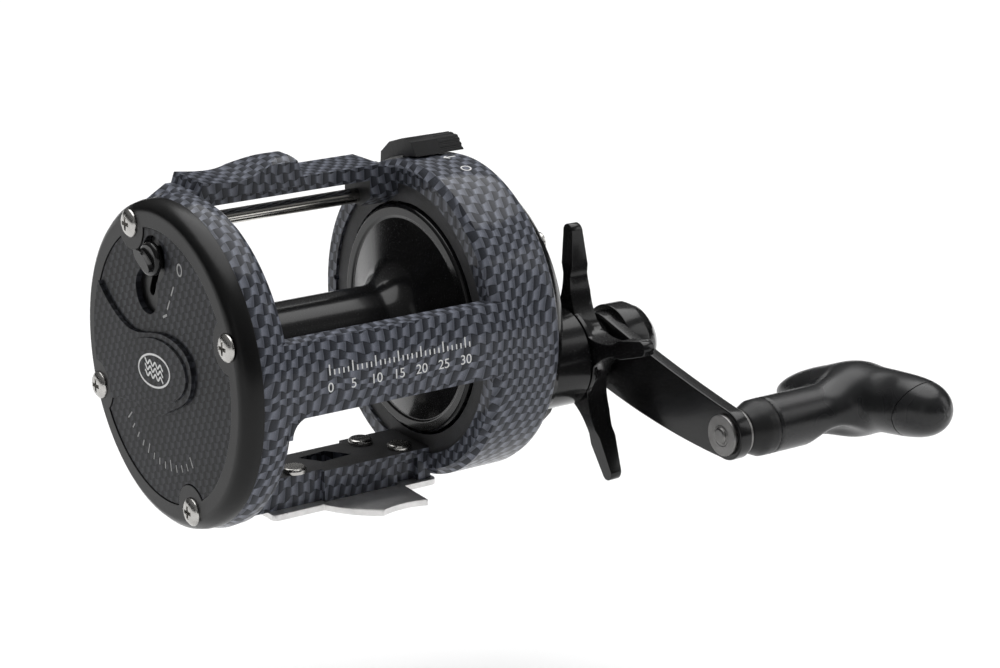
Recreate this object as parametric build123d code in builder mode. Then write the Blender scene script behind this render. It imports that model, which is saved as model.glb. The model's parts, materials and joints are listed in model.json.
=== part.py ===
"""Conventional trolling reel: open frame, narrow-arbour spool, star drag and T-grip handle.

Frame: origin at the centre of the underside of the reel foot, +X along the spool axis
towards the handle, +Y forward (the way the line leaves), +Z up.

"Station" means a distance in +X from the outer face of the tail plate.
"""
import os
from math import atan2, cos, degrees, hypot, pi, radians, sin, tan

from build123d import *

os.makedirs("parts", exist_ok=True)

# ---------------------------------------------------------------- driving dimensions (mm)
axis_height = 33.3           # spool axis above the underside of the foot
foot_station = 38.5          # station of the foot's centre
ring_radius = 32.0           # outside of both frame rings
ring_opening = 23.8          # the hole in each ring that the spool flange turns in
ring_recess = 27.5           # the inner annulus of each ring is a little lower than the rim
tail_plate_end = 4.2         # stations along the spool axis, from the tail plate inwards
left_ring_end = 10.2
right_ring_start = 55.7
side_plate_start = 61.0
side_plate_end = 71.4
dome_end = 78.0
running_gap = 0.3            # between faces of parts that move past each other
shaft_gap = 0.05             # radial clearance of a shaft in its hole

gear_module = 0.665
main_teeth = 38
pinion_teeth = 10
backlash = 0.12              # taken off each gear's tooth thickness
gear_direction = 216.0       # direction from the spool axis to the handle axis, from +Y to +Z
star_arms = 5
star_reach = 27.5
crank_reach = 42.2           # handle axis to grip axis
crank_direction = 189.8

screw_circle = 28.0          # tail plate screws
screw_angles = (68.0, 158.0, 248.0, 338.0)
screw_end = 7.4              # they stop short of the cross rod's seat
head_screw_circle = 26.5     # screws from the head plate into the right ring
head_screw_angles = (20, 155, 290)
head_screw_start = 58.2
head_screw_radius = 1.1
cover_screw_circle = 23.2    # screws through the gear cover
cover_screw_angles = (5, 135, 310)
foot_thickness = 1.3
bar_underside = foot_thickness
bar_top = 7.8                # top of the foot bar, above the underside of the foot

# ---------------------------------------------------------------- places worked out from them
centre_distance = gear_module * (main_teeth + pinion_teeth) / 2
gear_y = centre_distance * cos(radians(gear_direction))
gear_z = centre_distance * sin(radians(gear_direction))
knob_y = gear_y + crank_reach * cos(radians(crank_direction))
knob_z = gear_z + crank_reach * sin(radians(crank_direction))
spool_start = 8.0
spool_end = left_ring_end + right_ring_start - spool_start


def polar(radius, angle):
    """A point on a plane across the spool axis: angle in degrees from +Y towards +Z."""
    return radius * cos(radians(angle)), radius * sin(radians(angle))


def across(station, y=0.0, z=0.0):
    """Plane across the spool axis: local x is +Y, local y is +Z, and it extrudes along +X."""
    return Plane(
        origin=(station - foot_station, y, axis_height + z), x_dir=(0, 1, 0), z_dir=(1, 0, 0)
    )


def lengthwise(y=0.0, z=0.0):
    """Plane through an axis parallel to the spool's: local x is station, local y is radius."""
    return Plane(
        origin=(-foot_station, y, axis_height + z), x_dir=(1, 0, 0), z_dir=(0, -1, 0)
    )


def axis_at(y=0.0, z=0.0):
    """The axis parallel to the spool's through (y, z), both measured from the spool axis."""
    return Axis((-foot_station, y, axis_height + z), (1, 0, 0))


def turn(profile, y=0.0, z=0.0, mode=Mode.ADD):
    """Turn a closed (station, radius) outline about the axis through (y, z)."""
    with BuildSketch(lengthwise(y, z)) as section:
        with BuildLine():
            Polyline(*profile, close=True)
        make_face()
    revolve(section.sketch, axis=axis_at(y, z), mode=mode)


def disc(start, end, outer, inner=0.0, y=0.0, z=0.0, mode=Mode.ADD):
    """A washer-like ring between two stations."""
    with BuildSketch(across(start, y, z)) as section:
        Circle(outer)
        if inner:
            Circle(inner, mode=Mode.SUBTRACT)
    extrude(section.sketch, amount=end - start, mode=mode)


def cross_recess(plane, width, arm, depth):
    """The cross in a screw head, cut from a plane into the part behind it."""
    with BuildSketch(plane) as section:
        Rectangle(width, arm)
        Rectangle(arm, width)
    extrude(section.sketch, amount=depth, mode=Mode.SUBTRACT)


def gear_outline(teeth, first_tooth, slack):
    """Corner points of a spur gear's outline, with straight 20 degree flanks."""
    pitch = gear_module * teeth / 2
    tip = pitch + 0.95 * gear_module
    root = pitch - 1.2 * gear_module
    half = pi / (2 * teeth) - slack / (2 * pitch)
    lean = tan(radians(20)) / pitch
    half_tip = half - lean * (tip - pitch)
    half_root = half + lean * (pitch - root)
    points = []
    for tooth in range(teeth):
        middle = radians(first_tooth) + 2 * pi * tooth / teeth
        for radius, offset in ((root, -half_root), (tip, -half_tip), (tip, half_tip), (root, half_root)):
            points.append((radius * cos(middle + offset), radius * sin(middle + offset)))
    return points


def saw_outline(teeth, tip, root, first_face):
    """Corner points of a ratchet: each tooth has one radial face and one sloping back."""
    points = []
    for tooth in range(teeth):
        angle = first_face + 360 * tooth / teeth
        points.append(polar(tip, angle))
        points.append(polar(root, angle + 0.5))
    return points


# ================================================================ frame and foot
# ---- frame: two rings joined by the top bar, the rear bar and the foot bar
top_bar_back = 4.0
top_bar_front = 14.3
top_bar_low = 28.5
top_bar_high = 31.5
rear_bar_low = -3.7
rear_bar_high = 10.4
rear_bar_inside = -28.9
bar_skin = 32.3              # the rear bar's outer face follows this radius
rod_y = 9.3
rod_z = 24.4
rod_radius = 1.5
rod_start = 7.9
rod_end = 57.6
rod_boss_start = 49.8
rivet_radius = 1.3
rivet_spots = ((26.7, -3.4), (51.1, -3.4), (22.0, 3.6), (46.3, 3.6))    # (station, y)

left_ring_profile = (
    (tail_plate_end, ring_opening), (tail_plate_end, 31.5), (6.3, 32.4), (8.9, 32.2),
    (left_ring_end, 31.2), (left_ring_end, ring_recess), (left_ring_end - 0.6, ring_recess),
    (left_ring_end - 0.6, ring_opening),
)
right_ring_profile = (
    (right_ring_start + 0.6, ring_opening), (right_ring_start + 0.6, ring_recess),
    (right_ring_start, ring_recess), (right_ring_start, 30.6), (57.1, 32.0),
    (side_plate_start, ring_radius), (side_plate_start, ring_opening),
)

with BuildPart() as frame:
    turn(left_ring_profile)
    turn(right_ring_profile)

    # top bar: flat on top, running down onto the rings at both ends
    with BuildSketch(lengthwise(top_bar_front)):
        with BuildLine():
            Polyline(
                (5.2, top_bar_low - 1.5), (5.2, 28.8), (9.8, top_bar_high), (52.2, top_bar_high),
                (59.2, 28.5), (60.9, 28.0), (60.9, top_bar_low - 1.5), (56.2, top_bar_low - 1.5),
                (51.5, top_bar_low), (14.2, top_bar_low), (9.8, top_bar_low - 1.5), close=True,
            )
        make_face()
    extrude(amount=top_bar_front - top_bar_back)

    # rear bar: its outer face follows the rings' curve
    with BuildSketch(across(left_ring_end - 4)):
        Circle(bar_skin)
        Circle(-rear_bar_inside, mode=Mode.SUBTRACT)
        with Locations((-ring_radius, (rear_bar_low + rear_bar_high) / 2)):
            Rectangle(ring_radius, rear_bar_high - rear_bar_low, mode=Mode.INTERSECT)
    extrude(amount=right_ring_start - left_ring_end + 7)

    # web in the lower left corner of the rear bar, rounded like a fillet
    with BuildSketch(lengthwise(rear_bar_inside)):
        with BuildLine():
            corner_radius = 4.0
            Line((left_ring_end - 1, rear_bar_low + 0.5), (left_ring_end + corner_radius, rear_bar_low + 0.5))
            Line((left_ring_end + corner_radius, rear_bar_low + 0.5), (left_ring_end + corner_radius, rear_bar_low))
            ThreePointArc(
                (left_ring_end + corner_radius, rear_bar_low),
                (left_ring_end + 0.293 * corner_radius, rear_bar_low - 0.293 * corner_radius),
                (left_ring_end, rear_bar_low - corner_radius),
            )
            Line((left_ring_end, rear_bar_low - corner_radius), (left_ring_end - 1, rear_bar_low - corner_radius))
            Line((left_ring_end - 1, rear_bar_low - corner_radius), (left_ring_end - 1, rear_bar_low + 0.5))
        make_face()
    extrude(amount=2.6)

    # foot bar: two half-length blocks, each set over to its own side
    with BuildSketch(Plane.XY.offset(bar_underside)):
        with BuildLine():
            Polyline(
                (-29.5, -5.3), (-6.8, -5.3), (-6.8, -6.6), (18.0, -6.6), (18.0, 7.2), (5.0, 7.2),
                (5.0, 5.9), (-29.5, 5.9), close=True,
            )
        make_face()
    extrude(amount=bar_top - bar_underside)

    # thumb rest: a saddle standing on the left half of the top bar
    with BuildSketch(lengthwise(15.0)) as rest_outline:
        with BuildLine():
            Polyline((34.8, 30.0), (11.0, 30.0), (12.2, 33.4))
            Spline((12.2, 33.4), (18.0, 32.7), (22.5, 33.0), (26.0, 34.4), (29.3, 35.8), (31.4, 36.1), (33.0, 35.0))
            Line((33.0, 35.0), (34.8, 30.0))
        make_face()
    extrude(amount=11.6)
    # its top is crowned from back to front
    with BuildSketch(across(left_ring_end)):
        with BuildLine():
            Spline((2.0, 33.6), (4.6, 35.5), (7.0, 36.0), (9.4, 35.8), (12.4, 34.8), (16.0, 32.6))
            Polyline((16.0, 32.6), (16.0, 40.0), (2.0, 40.0), (2.0, 33.6))
        make_face()
    extrude(amount=right_ring_start - left_ring_end, mode=Mode.SUBTRACT)

    # boss that holds the right end of the cross rod, under the top bar
    with BuildSketch(across(rod_boss_start)):
        with BuildLine():
            Polyline((4.0, 24.9), (4.0, 29.5), (13.6, 29.5), (13.6, 23.2), (8.0, 22.4), close=True)
        make_face()
    extrude(amount=right_ring_start + 1.5 - rod_boss_start)
    disc(right_ring_start - 1, side_plate_start, ring_opening, mode=Mode.SUBTRACT)

    # bores for the cross rod
    disc(rod_start, rod_end, rod_radius, y=rod_y, z=rod_z, mode=Mode.SUBTRACT)

    # skewed slot through the foot bar, and a notch under one rivet head
    with BuildSketch(Plane.XY):
        with BuildLine():
            Polyline((-7.2, 2.9), (-0.6, 3.6), (2.7, -1.1), (-4.1, -1.7), close=True)
        make_face()
    extrude(amount=bar_top, mode=Mode.SUBTRACT)
    with BuildSketch(Plane.XY.offset(bar_underside)):
        for station, y in rivet_spots:
            with Locations((station - foot_station, y)):
                Circle(rivet_radius)
    extrude(amount=bar_top, mode=Mode.SUBTRACT)
    with BuildSketch(Plane.XY.offset(bar_underside)):
        with Locations((rivet_spots[1][0] - foot_station, -6.9)):
            Rectangle(5.0, 4.0)
    extrude(amount=bar_top - bar_underside - 1.6, mode=Mode.SUBTRACT)

    # tapped holes for the tail plate screws, and the drain hole in the right ring
    for angle in screw_angles:
        y, z = polar(screw_circle, angle)
        disc(tail_plate_end, screw_end, 1.25, y=y, z=z, mode=Mode.SUBTRACT)
    y, z = polar(27.6, 4.4)
    disc(right_ring_start - 1, right_ring_start + 2.5, 0.6, y=y, z=z, mode=Mode.SUBTRACT)
    # tapped holes for the head plate screws
    for angle in head_screw_angles:
        y, z = polar(head_screw_circle, angle)
        disc(head_screw_start, side_plate_start, head_screw_radius, y=y, z=z, mode=Mode.SUBTRACT)

# ---- foot plate: a cross-shaped plate with two skewed wings, the same either way round
foot_half_length = 19.0
foot_half_width = 7.6
wing_reach = 16.9

with BuildPart() as foot_plate:
    with BuildSketch(Plane.XY):
        RectangleRounded(2 * foot_half_length, 2 * foot_half_width, 1.2)
        for side in (1, -1):
            with BuildLine():
                Polyline(
                    (side * 11.3, -side * (foot_half_width - 1)), (-side * 7.6, -side * (foot_half_width - 1)),
                    (-side * 7.6, -side * foot_half_width),
                )
                ThreePointArc(
                    (-side * 7.6, -side * foot_half_width), (-side * 4.9, -side * 12.2),
                    (side * 0.4, -side * wing_reach),
                )
                ThreePointArc(
                    (side * 0.4, -side * wing_reach), (side * 5.4, -side * (wing_reach - 1.0)),
                    (side * 10.7, -side * wing_reach),
                )
                Line((side * 10.7, -side * wing_reach), (side * 11.3, -side * (foot_half_width - 1)))
            make_face()
    extrude(amount=foot_thickness)
    with BuildSketch(Plane.XY):
        for station, y in rivet_spots:
            with Locations((station - foot_station, y)):
                Circle(rivet_radius)
    extrude(amount=foot_thickness, mode=Mode.SUBTRACT)

rivet_head_radius = 2.45
rivet_head_height = 1.1

with BuildPart() as foot_rivets:
    for station, y in rivet_spots:
        with BuildSketch(Plane.XY.offset(0.05)):
            with Locations((station - foot_station, y)):
                Circle(rivet_radius)
        extrude(amount=bar_top - 0.05)
        with BuildSketch(Plane.XY.offset(bar_top)):
            with Locations((station - foot_station, y)):
                Circle(rivet_head_radius)
        extrude(amount=rivet_head_height)
    fillet(foot_rivets.faces().filter_by(Axis.Z).group_by(Axis.Z)[-1].edges(), 0.6)

with BuildPart() as cross_rod:
    disc(rod_start, rod_end, rod_radius, y=rod_y, z=rod_z)

# ================================================================ tail side
cover_radius = 26.8
cover_floor = 1.4
boss_round = 5.2
cavity_radius = 22.2
spigot_radius = 23.6
spigot_end = 7.4
bearing_outer = 5.0
bearing_bore = 2.5
bearing_start = 3.0
bearing_width = 4.0
hub_radius = 6.4
click_off = (1.6, 21.0)      # click button, (y, z) from the spool axis
click_on = (5.0, 13.8)
click_pocket = 4.4
click_neck = 2.3
stem_radius = 0.9

click_travel = hypot(click_on[0] - click_off[0], click_on[1] - click_off[1])
click_tilt = degrees(atan2(click_on[1] - click_off[1], click_on[0] - click_off[0]))
click_middle = ((click_on[0] + click_off[0]) / 2, (click_on[1] + click_off[1]) / 2)

with BuildPart() as tail_plate:
    turn((
        (0.0, 0.0), (0.0, 29.4), (0.6, 30.6), (1.7, 31.6), (3.0, 31.9), (tail_plate_end, 31.9),
        (tail_plate_end, spigot_radius), (spigot_end, spigot_radius), (spigot_end, cavity_radius),
        (2.8, cavity_radius), (2.8, hub_radius), (spigot_end - 0.2, hub_radius),
        (spigot_end - 0.2, bearing_outer), (2.8, bearing_outer), (2.8, 0.0),
    ))
    with BuildSketch(across(0)):
        Circle(cover_radius)
        for angle in screw_angles:
            with Locations(polar(screw_circle, angle)):
                Circle(boss_round, mode=Mode.SUBTRACT)
    extrude(amount=cover_floor, mode=Mode.SUBTRACT)
    # slot that the click button's stem slides in
    with BuildSketch(across(cover_floor)):
        with Locations(Location((click_middle[0], click_middle[1], 0), (0, 0, click_tilt))):
            SlotCenterToCenter(click_travel, 2 * (stem_radius + shaft_gap))
    extrude(amount=2, mode=Mode.SUBTRACT)
    for angle in screw_angles:
        y, z = polar(screw_circle, angle)
        disc(0, tail_plate_end, 1.55, y=y, z=z, mode=Mode.SUBTRACT)

# ---- tail cover: patterned insert with a raised comma shape and an oval medallion on it
cover_face = 0.2
comma_rise = 0.7
medallion_rise = 0.35

with BuildPart() as tail_cover:
    with BuildSketch(across(cover_face)) as cover_outline:
        Circle(cover_radius - 0.1)
        for angle in screw_angles:
            with Locations(polar(screw_circle, angle)):
                Circle(boss_round + 0.1, mode=Mode.SUBTRACT)
    extrude(amount=cover_floor - cover_face)
    with BuildSketch(across(cover_face - comma_rise)):
        with BuildLine():
            Spline(
                (27.5, 15.6), (19.9, 8.2), (10.4, 4.9), (2.5, 6.3), (-5.4, 6.9), (-12.4, 3.5),
                (-12.0, -2.2), (-6.1, -6.6), (1.0, -9.6), (9.5, -9.7), (18.0, -10.9), (27.5, -15.4),
            )
            Line((27.5, -15.4), (27.5, 15.6))
        make_face()
        Circle(cover_radius - 0.1, mode=Mode.INTERSECT)
        for angle in screw_angles:
            with Locations(polar(screw_circle, angle)):
                Circle(boss_round + 0.1, mode=Mode.SUBTRACT)
    extrude(amount=comma_rise + 0.2)
    with BuildSketch(across(cover_face - comma_rise - medallion_rise)):
        with Locations(Location((1.2, -0.9, 0), (0, 0, -9.8))):
            Ellipse(12.6, 6.4)
    extrude(amount=medallion_rise + 0.2)
    # pockets for the click button's two places
    with BuildSketch(across(cover_face - 1)):
        for place in (click_off, click_on):
            with Locations(place):
                Circle(click_pocket)
        with Locations(Location((click_middle[0], click_middle[1], 0), (0, 0, click_tilt))):
            Rectangle(click_travel, 5.2)
    extrude(amount=3, mode=Mode.SUBTRACT)

# ---- pan-head screws through the tail plate into the left ring
pan_radius = 2.8
pan_height = 1.1

with BuildPart() as tail_plate_screws:
    for angle in screw_angles:
        y, z = polar(screw_circle, angle)
        turn((
            (-pan_height, 0.0), (-pan_height, 1.2), (-0.75 * pan_height, 2.1), (-0.3 * pan_height, 2.7),
            (0.0, pan_radius), (0.0, 1.25), (screw_end - 0.3, 1.25), (screw_end, 1.0),
            (screw_end, 0.0),
        ), y, z)
        cross_recess(across(-pan_height, y, z), 0.7, 2.6, 0.8)

# ---- click: a button outside, a tongue inside, a ratchet on the spool
click_ratchet_teeth = 20
click_ratchet_tip = 10.2
click_ratchet_root = 8.9
tongue_start = 6.2
tongue_end = 7.2
tongue_length = 5.0
click_heading = degrees(atan2(-click_on[1], -click_on[0]))    # from the "on" place to the axis
click_valley = click_heading + 180

with BuildPart() as click_button:
    with BuildSketch(across(-1.3)):
        with Locations(Location((click_off[0], click_off[1], 0), (0, 0, -25))):
            Ellipse(3.9, 3.3)
    extrude(amount=1.2)
    fillet(click_button.faces().sort_by(Axis.X)[0].edges(), 0.8)
    with BuildSketch(across(-2.3)):
        with Locations(Location((click_off[0] + 0.5, click_off[1] - 0.2, 0), (0, 0, 25))):
            Ellipse(3.3, 1.25)
    extrude(amount=1.5)
    disc(-0.4, 1.1, click_neck, y=click_off[0], z=click_off[1])
    disc(1.0, tongue_end, stem_radius, y=click_off[0], z=click_off[1])

with BuildPart() as click_tongue:
    with BuildSketch(across(tongue_start, *click_off)):
        Circle(1.1)
        with BuildLine():
            forward = polar(tongue_length, click_heading)
            side = polar(1.0, click_heading + 90)
            Polyline(
                side, (forward[0] + 0.3 * side[0], forward[1] + 0.3 * side[1]),
                (forward[0] - 0.3 * side[0], forward[1] - 0.3 * side[1]), (-side[0], -side[1]), close=True,
            )
        make_face()
        Circle(stem_radius, mode=Mode.SUBTRACT)
    extrude(amount=tongue_end - tongue_start)

with BuildPart() as click_ratchet:
    with BuildSketch(across(6.1)):
        with BuildLine():
            notches = []
            for tooth in range(click_ratchet_teeth):
                angle = click_valley + 360 * tooth / click_ratchet_teeth
                notches.append(polar(click_ratchet_root, angle))
                notches.append(polar(click_ratchet_tip, angle + 6.5))
                notches.append(polar(click_ratchet_tip, angle + 11.5))
            Polyline(*notches, close=True)
        make_face()
        Circle(7.0, mode=Mode.SUBTRACT)
    extrude(amount=spool_start - 6.1)

# a leaf of wire that presses on the button's stem and holds it at either end of its travel
with BuildPart() as click_spring:
    with BuildSketch(across(3.2)):
        with Locations(Location((click_middle[0] - 1.09, click_middle[1] - 0.52, 0), (0, 0, click_tilt))):
            Rectangle(click_travel + 2.4, 0.4)
        with Locations((click_on[0] - 1.1, click_on[1] - 2.4)):
            Circle(0.9)
    extrude(amount=0.8)

# ================================================================ bearings and spool
ball_radius = 0.6
ball_count = 9
ball_circle = (bearing_outer + bearing_bore) / 2


def outer_race(start):
    """The standing race of a ball bearing, with a groove for the balls."""
    middle = start + bearing_width / 2
    turn((
        (start, bearing_outer), (start, ball_circle + 0.45), (middle - 0.5, ball_circle + 0.45),
        (middle - 0.5, ball_circle + ball_radius + 0.03), (middle + 0.5, ball_circle + ball_radius + 0.03),
        (middle + 0.5, ball_circle + 0.45), (start + bearing_width, ball_circle + 0.45),
        (start + bearing_width, bearing_outer),
    ))


def inner_race(start):
    """The turning race of a ball bearing."""
    middle = start + bearing_width / 2
    turn((
        (start, bearing_bore), (start, ball_circle - 0.45), (middle - 0.5, ball_circle - 0.45),
        (middle - 0.5, ball_circle - ball_radius - 0.05), (middle + 0.5, ball_circle - ball_radius - 0.05),
        (middle + 0.5, ball_circle - 0.45), (start + bearing_width, ball_circle - 0.45),
        (start + bearing_width, bearing_bore),
    ))


def balls(start):
    """The bearing's ring of balls."""
    middle = start + bearing_width / 2 - foot_station
    for ball in range(ball_count):
        y, z = polar(ball_circle, 360 * ball / ball_count)
        with Locations((middle, y, axis_height + z)):
            Sphere(ball_radius)


head_bearing_start = 61.3

with BuildPart() as tail_bearing_outer:
    outer_race(bearing_start)

with BuildPart() as tail_bearing_balls:
    balls(bearing_start)

with BuildPart() as tail_bearing_inner:
    inner_race(bearing_start)

with BuildPart() as head_bearing_outer:
    outer_race(head_bearing_start)

with BuildPart() as head_bearing_balls:
    balls(head_bearing_start)

with BuildPart() as head_bearing_inner:
    inner_race(head_bearing_start)

# ---- spool: conical flanges that flare into a narrow arbour
flange_radius = 23.2
flange_lip = 20.6
arbour_radius = 8.2
spool_middle = (spool_start + spool_end) / 2
hub_recess_radius = 6.9

with BuildPart() as spool:
    with BuildSketch(lengthwise()):
        with BuildLine():
            half = (
                (spool_start, hub_recess_radius), (spool_start, flange_radius),
                (spool_start + 2.0, flange_radius), (spool_start + 2.5, flange_radius - 0.5),
                (spool_start + 2.5, flange_lip + 0.4), (spool_start + 2.2, flange_lip),
            )
            Polyline(*half)
            Line(half[-1], (spool_start + 4.9, 13.0))
            ThreePointArc((spool_start + 4.9, 13.0), (spool_start + 7.3, 9.6), (spool_start + 12.4, arbour_radius))
            Line((spool_start + 12.4, arbour_radius), (spool_middle, arbour_radius))
            Polyline(
                (spool_middle, arbour_radius), (spool_middle, bearing_bore), (spool_start + 1.4, bearing_bore),
                (spool_start + 1.4, hub_recess_radius), (spool_start, hub_recess_radius),
            )
        make_face()
    revolve(axis=axis_at())
    mirror(about=across(spool_middle))

dog_start = head_bearing_start + bearing_width + 0.1
dog_end = dog_start + 1.2
dog_half_width = 1.2

with BuildPart() as spool_shaft:
    disc(2.9, dog_start, bearing_bore)
    with BuildSketch(across(dog_start)):
        Circle(bearing_bore)
        Rectangle(2 * dog_half_width, 2 * bearing_bore, mode=Mode.INTERSECT)
    extrude(amount=dog_end - dog_start)
    disc(dog_start, 77.2, 1.55)

# ================================================================ handle side housing
wall_inside = 30.2
head_plate_end = 62.7
cam_inner = 6.75
cam_outer = 9.4
lever_angle = 71.0           # where the free-spool lever stands at rest
lever_turn = 25.0            # it swings forward by this much to free the spool
lever_start = 63.0
lever_end = 64.2
shaft_radius = 3.2
post_radius = 1.0
post_start = 69.5
post_end = 77.3
post_circle = 9.6
post_angles = (gear_direction - 90, gear_direction + 90)
sleeve_outer = 4.6
bush_outer = 6.4
boss_radius = 10.2
boss_end = 84.95
tension_boss = 4.0
tension_cap_radius = 5.4

with BuildPart() as side_plate:
    turn((
        (side_plate_start, wall_inside), (side_plate_start, ring_radius), (68.6, ring_radius),
        (70.2, 31.5), (71.1, 30.4), (side_plate_end, 29.0), (side_plate_end, 27.6), (69.6, 27.6),
        (69.6, wall_inside),
    ))
    # slot in the rim for the free-spool lever
    lever_slot = (lever_angle - lever_turn - 7, lever_angle + 7)
    with BuildSketch(across(lever_start - 0.4)):
        with BuildLine():
            low_edge = polar(40, lever_slot[0])
            high_edge = polar(40, lever_slot[1])
            top_edge = polar(50, sum(lever_slot) / 2)
            Polyline((0, 0), low_edge, top_edge, high_edge, close=True)
        make_face()
    extrude(amount=lever_end - lever_start + 0.8, mode=Mode.SUBTRACT)

with BuildPart() as head_plate:
    turn((
        (side_plate_start + 0.1, bearing_bore + 0.6), (side_plate_start + 0.1, wall_inside - 0.1),
        (head_plate_end, wall_inside - 0.1), (head_plate_end, hub_radius),
        (head_bearing_start + bearing_width, hub_radius), (head_bearing_start + bearing_width, bearing_outer),
        (head_bearing_start, bearing_outer), (head_bearing_start, bearing_bore + 0.6),
    ))
    # pocket that carries the inner end of the gear shaft, and the sunk heads of its screws
    disc(head_plate_end - 1.2, head_plate_end, shaft_radius + shaft_gap, y=gear_y, z=gear_z, mode=Mode.SUBTRACT)
    for angle in head_screw_angles:
        y, z = polar(head_screw_circle, angle)
        disc(side_plate_start, head_plate_end, head_screw_radius, y=y, z=z, mode=Mode.SUBTRACT)
    # pillars that the gear cover's screws go into
    for angle in cover_screw_angles:
        y, z = polar(cover_screw_circle, angle)
        disc(head_plate_end, 69.5, 2.2, head_screw_radius, y=y, z=z)

with BuildPart() as head_plate_screws:
    for angle in head_screw_angles:
        y, z = polar(head_screw_circle, angle)
        turn((
            (head_screw_start, 0.0), (head_screw_start, head_screw_radius),
            (head_plate_end, head_screw_radius), (head_plate_end, 2.1),
            (head_plate_end + 0.5, 2.0), (head_plate_end + 1.0, 1.2), (head_plate_end + 1.0, 0.0),
        ), y, z)
        cross_recess(across(head_plate_end + 0.4, y, z), 0.5, 2.0, 0.7)

# ---- gear cover: a shallow dome on the spool axis and a long boss on the handle axis
with BuildPart() as gear_cover:
    turn((
        (side_plate_end - 1.7, 27.5), (side_plate_end, 27.5), (73.4, 27.2), (75.2, 26.0), (76.7, 24.0),
        (77.6, 21.6), (dome_end, 18.6), (dome_end, 0.0), (side_plate_end - 1.7, 0.0),
    ))
    turn((
        (side_plate_end, 0.0), (side_plate_end, 12.0), (73.0, 11.6), (74.4, 11.4), (74.4, 10.9),
        (76.0, 10.7), (76.0, boss_radius), (boss_end - 0.5, boss_radius), (boss_end, boss_radius - 0.5),
        (boss_end, 0.0),
    ), gear_y, gear_z)
    turn(((76.5, 0.0), (76.5, tension_boss), (80.6, tension_boss), (80.6, 0.0)))
    # room inside for the gears, the bush and the spool shaft's end
    turn((
        (side_plate_end - 2, 0.0), (side_plate_end - 2, 25.6), (74.0, 24.4), (75.6, 22.0),
        (76.5, 18.4), (76.5, 0.0),
    ), mode=Mode.SUBTRACT)
    disc(75.0, boss_end, bush_outer, y=gear_y, z=gear_z, mode=Mode.SUBTRACT)
    disc(76.0, 80.6, 2.6, mode=Mode.SUBTRACT)
    for angle in post_angles:
        y, z = polar(post_circle, angle)
        disc(76.0, post_end, post_radius, y=y, z=z, mode=Mode.SUBTRACT)
    for angle in cover_screw_angles:
        y, z = polar(cover_screw_circle, angle)
        disc(70, 75.6, head_screw_radius, y=y, z=z, mode=Mode.SUBTRACT)
        disc(75.6, dome_end, 2.2, y=y, z=z, mode=Mode.SUBTRACT)

with BuildPart() as gear_cover_screws:
    for angle in cover_screw_angles:
        y, z = polar(cover_screw_circle, angle)
        turn((
            (head_plate_end, 0.0), (head_plate_end, head_screw_radius), (75.6, head_screw_radius),
            (75.6, 2.0), (76.5, 2.0), (77.0, 1.2), (77.0, 0.0),
        ), y, z)
        cross_recess(across(76.4, y, z), 0.5, 2.0, 0.7)

with BuildPart() as boss_bush:
    disc(76.2, boss_end - 0.4, bush_outer, sleeve_outer + shaft_gap, y=gear_y, z=gear_z)

# ---- spool tension cap: turns on the threaded boss and presses a shim on the spool shaft
with BuildPart() as tension_cap:
    disc(dome_end + running_gap, 81.9, tension_cap_radius)
    fillet(tension_cap.faces().sort_by(Axis.X)[-1].edges(), 0.8)
    disc(dome_end, 80.9, tension_boss + shaft_gap, mode=Mode.SUBTRACT)
    disc(77.6, 80.9, 2.3)
    with BuildSketch(across(dome_end + running_gap)):
        with PolarLocations(tension_cap_radius + 0.15, 18):
            Circle(0.4)
    extrude(amount=2.6, mode=Mode.SUBTRACT)

# ================================================================ free-spool mechanism
yoke_start = 71.5
yoke_end = 72.5
yoke_travel = 2.5
groove_radius = 2.75
yoke_ear = 1.9
foot_pin_circle = 7.9
foot_pin_radius = 0.5

with BuildPart() as yoke_posts:
    for angle in post_angles:
        y, z = polar(post_circle, angle)
        disc(post_start, post_end, post_radius, y=y, z=z)

with BuildPart() as yoke:
    with BuildSketch(across(yoke_start)):
        Circle(5.4)
        for angle in post_angles:
            with Locations(polar(post_circle, angle)):
                Circle(yoke_ear)
        with Locations(Location((0, 0, 0), (0, 0, post_angles[0]))):
            Rectangle(2 * post_circle, 2.6)
        Circle(groove_radius + shaft_gap, mode=Mode.SUBTRACT)
        # open side, so that the yoke slips into the pinion's groove
        with Locations(Location((*polar(4, gear_direction + 180), 0), (0, 0, gear_direction))):
            Rectangle(8, 2 * (groove_radius + shaft_gap), mode=Mode.SUBTRACT)
    extrude(amount=yoke_end - yoke_start)
    for angle in post_angles:
        y, z = polar(foot_pin_circle, angle)
        disc(lever_end + 0.2, yoke_start, foot_pin_radius, y=y, z=z)
    for angle in post_angles:
        y, z = polar(post_circle, angle)
        disc(yoke_start, yoke_end, post_radius + shaft_gap, y=y, z=z, mode=Mode.SUBTRACT)

# one helical spring of square wire on each post, between the yoke's ear and the cover
spring_radius = 1.45
spring_wire = 0.3
spring_turns = 5
spring_low = yoke_end + 0.25
spring_high = 76.0

with BuildPart() as yoke_springs:
    for angle in post_angles:
        y, z = polar(post_circle, angle)
        coil = Helix(
            pitch=(spring_high - spring_low) / spring_turns, height=spring_high - spring_low,
            radius=spring_radius, center=(spring_low - foot_station, y, axis_height + z),
            direction=(1, 0, 0), mode=Mode.PRIVATE,
        )
        with BuildSketch(Plane(origin=coil @ 0, z_dir=coil % 0)):
            Rectangle(spring_wire, spring_wire)
        sweep(path=coil, is_frenet=True)

# ---- lever: a cam ring on the bearing boss, an arm through the rim and a thumb pad outside
pad_inside = 32.5
ramp_height = yoke_travel - 0.3

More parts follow.
